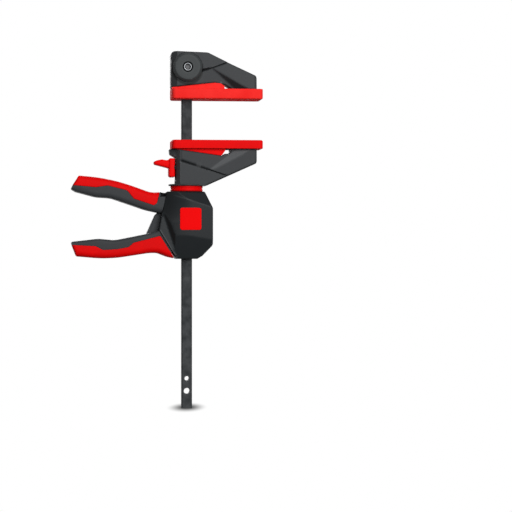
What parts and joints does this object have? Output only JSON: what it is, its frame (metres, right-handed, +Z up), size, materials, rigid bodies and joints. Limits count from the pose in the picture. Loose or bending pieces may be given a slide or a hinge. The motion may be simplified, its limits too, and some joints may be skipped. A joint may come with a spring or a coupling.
{
  "type": "quick release bar clamp",
  "caption": "One-handed bar clamp: a jaw slides and is pumped along a steel bar towards a fixed jaw; its grip swivels about the bar and a side lever releases it.",
  "frame": {"origin": "on the bar's axis, in the plane of the fixed jaw's clamping face", "axes": "+Z up along the bar towards the fixed jaw's head, +X from the bar to the jaw tips, +Y to the back"},
  "size_m": [0.1638, 0.038, 0.3064],
  "materials": {
    "bar_steel": "burnished dark, drawn lengthwise",
    "jaw_plastic": "fine spark-eroded texture, glass-filled",
    "housing_plastic": "satin with soft sheen on the facets",
    "disc_plastic": "fine texture",
    "red_pad": "soft satin",
    "red_plastic": "smooth",
    "red_grip": "soft-touch",
    "badge_red": "smooth, blank",
    "bright_steel": "zinc plated",
    "dark_screw": "black oxide",
    "spring_steel": "drawn wire",
    "hard_steel": "hardened, ground",
    "cast_metal": "machined casting",
    "washer_plastic": "acetal"
  },
  "bodies": {
    "fixed": {"bar": "bar_steel", "fixed_jaw": "jaw_plastic", "fixed_pad": "red_pad", "clamp_disc_front": "disc_plastic", "clamp_disc_rear": "disc_plastic", "clamp_screw": "bright_steel", "clamp_nut": "bright_steel", "locating_pin": "bright_steel"},
    "sliding_jaw": {"moving_jaw": "jaw_plastic", "moving_pad": "red_pad", "swivel_neck": "cast_metal", "swivel_collar": "red_plastic", "thrust_washer": "washer_plastic", "fulcrum_pin": "bright_steel", "brake_spring": "spring_steel"},
    "release": {"brake_plate": "hard_steel", "release_lever": "red_plastic"},
    "grip": {"housing_front": "housing_plastic", "housing_rear": "housing_plastic", "housing_screws": "dark_screw", "badge_front": "badge_red", "badge_rear": "badge_red", "upper_grip": "red_grip", "trigger_pin": "bright_steel", "seat_washer": "bright_steel", "drive_spring": "spring_steel"},
    "trigger_lever": {"trigger": "housing_plastic", "trigger_grip": "red_grip"},
    "drive": {"drive_plates": "hard_steel"}
  },
  "joints": [
    {"name": "jaw_slide", "type": "slide", "parent": "fixed", "child": "sliding_jaw", "axis": [0, 0, 1], "range_m": [-0.115, 0.035]},
    {"name": "release_tilt", "type": "hinge", "parent": "sliding_jaw", "child": "release", "pos_m": [0.0095, 0, -0.0574], "axis": [0, -1, 0], "range_deg": [0, 6], "stiffness_Nm_per_rad": 0.5, "springref_deg": -2.86, "deforming": ["brake_spring"]},
    {"name": "grip_swivel", "type": "hinge", "parent": "sliding_jaw", "child": "grip", "pos_m": [0, 0, -0.0793], "axis": [0, 0, 1], "continuous": true},
    {"name": "trigger_pivot", "type": "hinge", "parent": "grip", "child": "trigger_lever", "pos_m": [-0.01112, 0, -0.1165], "axis": [0, 1, 0], "range_deg": [0, 24], "stiffness_Nm_per_rad": 0.3, "springref_deg": -11.46, "deforming": ["drive_spring"]},
    {"name": "drive_push", "type": "slide", "parent": "sliding_jaw", "child": "drive", "axis": [0, 0, -1], "range_m": [0, 0.0034]}
  ],
  "couplings": [
    {"joint": "drive_push", "follows": "trigger_pivot", "m_per_rad": 0.0076}
  ]
}
